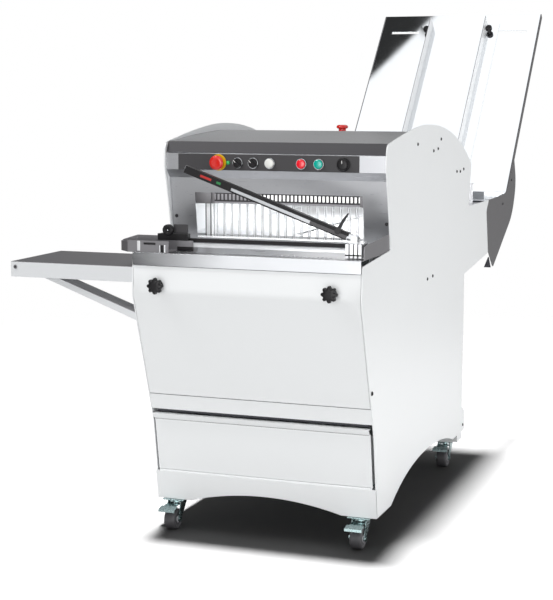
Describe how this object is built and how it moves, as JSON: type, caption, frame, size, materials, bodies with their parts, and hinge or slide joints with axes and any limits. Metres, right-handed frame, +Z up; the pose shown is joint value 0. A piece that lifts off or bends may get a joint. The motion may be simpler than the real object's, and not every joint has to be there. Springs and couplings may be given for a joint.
{
  "type": "bread slicer machine",
  "caption": "Floor-standing bread slicer with white side panels, loading chute behind, reciprocating blade frames in the head, packing tray, crumb drawer and side table, on castors.",
  "frame": {"origin": "on the floor under the middle of the machine's bounding box", "axes": "+X to the operator's right, +Y from the operator to the rear, +Z up"},
  "size_m": [0.963, 2.3415, 1.4436],
  "materials": {
    "white_paint": "smooth white powder coat",
    "brushed_steel": "brushed stainless sheet",
    "polished_steel": "mirror polished stainless sheet",
    "dark_paint": "fine textured dark grey coat",
    "grey_paint": "satin mid grey coat",
    "zinc": "bright zinc plate",
    "blade_steel": "ground blade steel",
    "motor_paint": "blue grey enamel",
    "black_plastic": "fine grained black plastic",
    "black_rubber": "matt rubber",
    "wheel_tyre": "grey elastic tread",
    "red_plastic": "glossy red",
    "white_plastic": "glossy white",
    "green_plastic": "glossy green",
    "arm_steel": "satin extruded section"
  },
  "bodies": {
    "body": {"side_panel_left": "white_paint", "side_panel_right": "white_paint", "front_panels": "white_paint", "base_frame": "zinc", "outfeed_tray": "brushed_steel", "head_front": "brushed_steel", "control_panel": "dark_paint", "top_cover": "brushed_steel", "rear_cover": "white_paint", "infeed_table": "brushed_steel", "chute_plate": "polished_steel", "chute_cheeks": "grey_paint", "side_table": "white_paint", "bag_scoop": "brushed_steel", "stop_rail": "black_plastic", "motor": "motor_paint", "drive_belt": "black_rubber", "bearing_blocks": "zinc", "frame_guides": "zinc", "drawer_rails": "zinc"},
    "door": {"front_door": "white_paint"},
    "left_door_knob": {"door_knob_left": "black_plastic"},
    "right_door_knob": {"door_knob_right": "black_plastic"},
    "drawer": {"crumb_drawer": "white_paint"},
    "front_frame": {"blade_frame_front": "grey_paint", "blades_front": "blade_steel"},
    "rear_frame": {"blade_frame_rear": "grey_paint", "blades_rear": "blade_steel"},
    "crank": {"crankshaft": "zinc"},
    "drive_pulley": {"motor_pulley": "zinc"},
    "front_rod": {"connecting_rod_front": "zinc"},
    "rear_rod": {"connecting_rod_rear": "zinc"},
    "pusher": {"loaf_pusher": "polished_steel"},
    "left_guide": {"chute_guide_left": "polished_steel"},
    "right_guide": {"chute_guide_right": "polished_steel"},
    "left_guide_knob": {"guide_knob_left": "black_plastic"},
    "right_guide_knob": {"guide_knob_right": "black_plastic"},
    "front_stop": {"emergency_stop_front": "red_plastic"},
    "rear_stop": {"emergency_stop_rear": "red_plastic"},
    "button_white": {"white_button": "white_plastic"},
    "button_red": {"red_button": "red_plastic"},
    "button_green": {"green_button": "green_plastic"},
    "left_selector": {"selector_left": "black_plastic"},
    "right_selector": {"selector_right": "black_plastic"},
    "dial": {"speed_knob": "black_plastic"},
    "comb": {"packing_comb": "brushed_steel"},
    "arm": {"press_arm": "arm_steel"},
    "lever": {"arm_lever": "black_plastic"},
    "fork_front_left": {"castor_fork_front_left": "zinc"},
    "wheel_front_left": {"castor_wheel_front_left": "wheel_tyre"},
    "pedal_front_left": {"brake_pedal_front_left": "zinc"},
    "fork_front_right": {"castor_fork_front_right": "zinc"},
    "wheel_front_right": {"castor_wheel_front_right": "wheel_tyre"},
    "pedal_front_right": {"brake_pedal_front_right": "zinc"},
    "fork_rear_left": {"castor_fork_rear_left": "zinc"},
    "wheel_rear_left": {"castor_wheel_rear_left": "wheel_tyre"},
    "pedal_rear_left": {"brake_pedal_rear_left": "zinc"},
    "fork_rear_right": {"castor_fork_rear_right": "zinc"},
    "wheel_rear_right": {"castor_wheel_rear_right": "wheel_tyre"},
    "pedal_rear_right": {"brake_pedal_rear_right": "zinc"}
  },
  "joints": [
    {"name": "door_hinge", "type": "hinge", "parent": "body", "child": "door", "pos_m": [0.1765, -1.04656, 0.416], "axis": [1, 0, 0], "range_deg": [0, 70]},
    {"name": "left_door_knob_turn", "type": "hinge", "parent": "door", "child": "left_door_knob", "pos_m": [-0.0535, -1.14246, 0.675], "axis": [0, -1, 0], "continuous": true},
    {"name": "right_door_knob_turn", "type": "hinge", "parent": "door", "child": "right_door_knob", "pos_m": [0.4065, -1.14246, 0.675], "axis": [0, -1, 0], "continuous": true},
    {"name": "drawer_slide", "type": "slide", "parent": "body", "child": "drawer", "axis": [0, -1, 0], "range_m": [0, 0.38]},
    {"name": "front_frame_stroke", "type": "slide", "parent": "body", "child": "front_frame", "axis": [0, 0, 1], "range_m": [-0.015, 0.015]},
    {"name": "rear_frame_stroke", "type": "slide", "parent": "body", "child": "rear_frame", "axis": [0, 0, 1], "range_m": [-0.015, 0.015]},
    {"name": "crank_turn", "type": "hinge", "parent": "body", "child": "crank", "pos_m": [0.1765, -0.81246, 0.47], "axis": [1, 0, 0], "continuous": true},
    {"name": "motor_turn", "type": "hinge", "parent": "body", "child": "drive_pulley", "pos_m": [-0.0385, -0.43246, 0.43], "axis": [1, 0, 0], "continuous": true},
    {"name": "front_rod_turn", "type": "hinge", "parent": "crank", "child": "front_rod", "pos_m": [0.1365, -0.82746, 0.47], "axis": [1, 0, 0], "continuous": true},
    {"name": "rear_rod_turn", "type": "hinge", "parent": "crank", "child": "rear_rod", "pos_m": [0.2165, -0.79746, 0.47], "axis": [1, 0, 0], "continuous": true},
    {"name": "pusher_slide", "type": "slide", "parent": "body", "child": "pusher", "axis": [0, -1, 0], "range_m": [0, 1.18]},
    {"name": "left_guide_slide", "type": "slide", "parent": "body", "child": "left_guide", "axis": [-1, 0, 0], "range_m": [0, 0.13]},
    {"name": "right_guide_slide", "type": "slide", "parent": "body", "child": "right_guide", "axis": [1, 0, 0], "range_m": [0, 0.13]},
    {"name": "left_guide_knob_turn", "type": "hinge", "parent": "left_guide", "child": "left_guide_knob", "pos_m": [0.0565, 1.09806, 1.37806], "axis": [0, -0.7361, 0.6769], "continuous": true},
    {"name": "right_guide_knob_turn", "type": "hinge", "parent": "right_guide", "child": "right_guide_knob", "pos_m": [0.2965, 1.09806, 1.37806], "axis": [0, -0.7361, 0.6769], "continuous": true},
    {"name": "front_stop_press", "type": "slide", "parent": "body", "child": "front_stop", "axis": [0, 1, 0], "range_m": [0, 0.005], "stiffness_N_per_m": 900},
    {"name": "rear_stop_press", "type": "slide", "parent": "body", "child": "rear_stop", "axis": [0, 0, -1], "range_m": [0, 0.005], "stiffness_N_per_m": 900},
    {"name": "white_button_press", "type": "slide", "parent": "body", "child": "button_white", "axis": [0, 1, 0], "range_m": [0, 0.003], "stiffness_N_per_m": 600},
    {"name": "red_button_press", "type": "slide", "parent": "body", "child": "button_red", "axis": [0, 1, 0], "range_m": [0, 0.003], "stiffness_N_per_m": 600},
    {"name": "green_button_press", "type": "slide", "parent": "body", "child": "button_green", "axis": [0, 1, 0], "range_m": [0, 0.003], "stiffness_N_per_m": 600},
    {"name": "left_selector_turn", "type": "hinge", "parent": "body", "child": "left_selector", "pos_m": [0.07882, -0.93246, 0.975], "axis": [0, -1, 0], "range_deg": [-90, 0]},
    {"name": "right_selector_turn", "type": "hinge", "parent": "body", "child": "right_selector", "pos_m": [0.12165, -0.93246, 0.975], "axis": [0, -1, 0], "range_deg": [-90, 0]},
    {"name": "dial_turn", "type": "hinge", "parent": "body", "child": "dial", "pos_m": [0.36666, -0.93246, 0.975], "axis": [0, -1, 0], "range_deg": [-140, 140]},
    {"name": "comb_slide", "type": "slide", "parent": "body", "child": "comb", "axis": [-1, 0, 0], "range_m": [0, 0.33]},
    {"name": "arm_hinge", "type": "hinge", "parent": "comb", "child": "arm", "pos_m": [0.4385, -1.05246, 0.802], "axis": [0, 1, 0], "range_deg": [-15, 45]},
    {"name": "lever_hinge", "type": "hinge", "parent": "arm", "child": "lever", "pos_m": [0.39596, -1.06246, 0.81961], "axis": [0, 1, 0], "range_deg": [-20, 20]},
    {"name": "swivel_front_left", "type": "hinge", "parent": "body", "child": "fork_front_left", "pos_m": [-0.0815, -0.97046, 0.07], "axis": [0, 0, 1], "continuous": true},
    {"name": "roll_front_left", "type": "hinge", "parent": "fork_front_left", "child": "wheel_front_left", "pos_m": [-0.0815, -1.00046, 0.028], "axis": [1, 0, 0], "continuous": true},
    {"name": "brake_front_left", "type": "hinge", "parent": "fork_front_left", "child": "pedal_front_left", "pos_m": [-0.0815, -0.98446, 0.064], "axis": [1, 0, 0], "range_deg": [0, 6]},
    {"name": "swivel_front_right", "type": "hinge", "parent": "body", "child": "fork_front_right", "pos_m": [0.4345, -0.97046, 0.07], "axis": [0, 0, 1], "continuous": true},
    {"name": "roll_front_right", "type": "hinge", "parent": "fork_front_right", "child": "wheel_front_right", "pos_m": [0.4345, -1.00046, 0.028], "axis": [1, 0, 0], "continuous": true},
    {"name": "brake_front_right", "type": "hinge", "parent": "fork_front_right", "child": "pedal_front_right", "pos_m": [0.4345, -0.98446, 0.064], "axis": [1, 0, 0], "range_deg": [0, 6]},
    {"name": "swivel_rear_left", "type": "hinge", "parent": "body", "child": "fork_rear_left", "pos_m": [-0.0815, -0.07046, 0.07], "axis": [0, 0, 1], "continuous": true},
    {"name": "roll_rear_left", "type": "hinge", "parent": "fork_rear_left", "child": "wheel_rear_left", "pos_m": [-0.0815, -0.10046, 0.028], "axis": [1, 0, 0], "continuous": true},
    {"name": "brake_rear_left", "type": "hinge", "parent": "fork_rear_left", "child": "pedal_rear_left", "pos_m": [-0.0815, -0.08446, 0.064], "axis": [1, 0, 0], "range_deg": [0, 6]},
    {"name": "swivel_rear_right", "type": "hinge", "parent": "body", "child": "fork_rear_right", "pos_m": [0.4345, -0.07046, 0.07], "axis": [0, 0, 1], "continuous": true},
    {"name": "roll_rear_right", "type": "hinge", "parent": "fork_rear_right", "child": "wheel_rear_right", "pos_m": [0.4345, -0.10046, 0.028], "axis": [1, 0, 0], "continuous": true},
    {"name": "brake_rear_right", "type": "hinge", "parent": "fork_rear_right", "child": "pedal_rear_right", "pos_m": [0.4345, -0.08446, 0.064], "axis": [1, 0, 0], "range_deg": [0, 6]}
  ],
  "couplings": [
    {"joint": "rear_frame_stroke", "follows": "front_frame_stroke", "ratio": -1},
    {"joint": "motor_turn", "follows": "crank_turn", "ratio": 2.0784},
    {"joint": "front_rod_turn", "follows": "crank_turn", "ratio": -1},
    {"joint": "rear_rod_turn", "follows": "crank_turn", "ratio": -1}
  ]
}
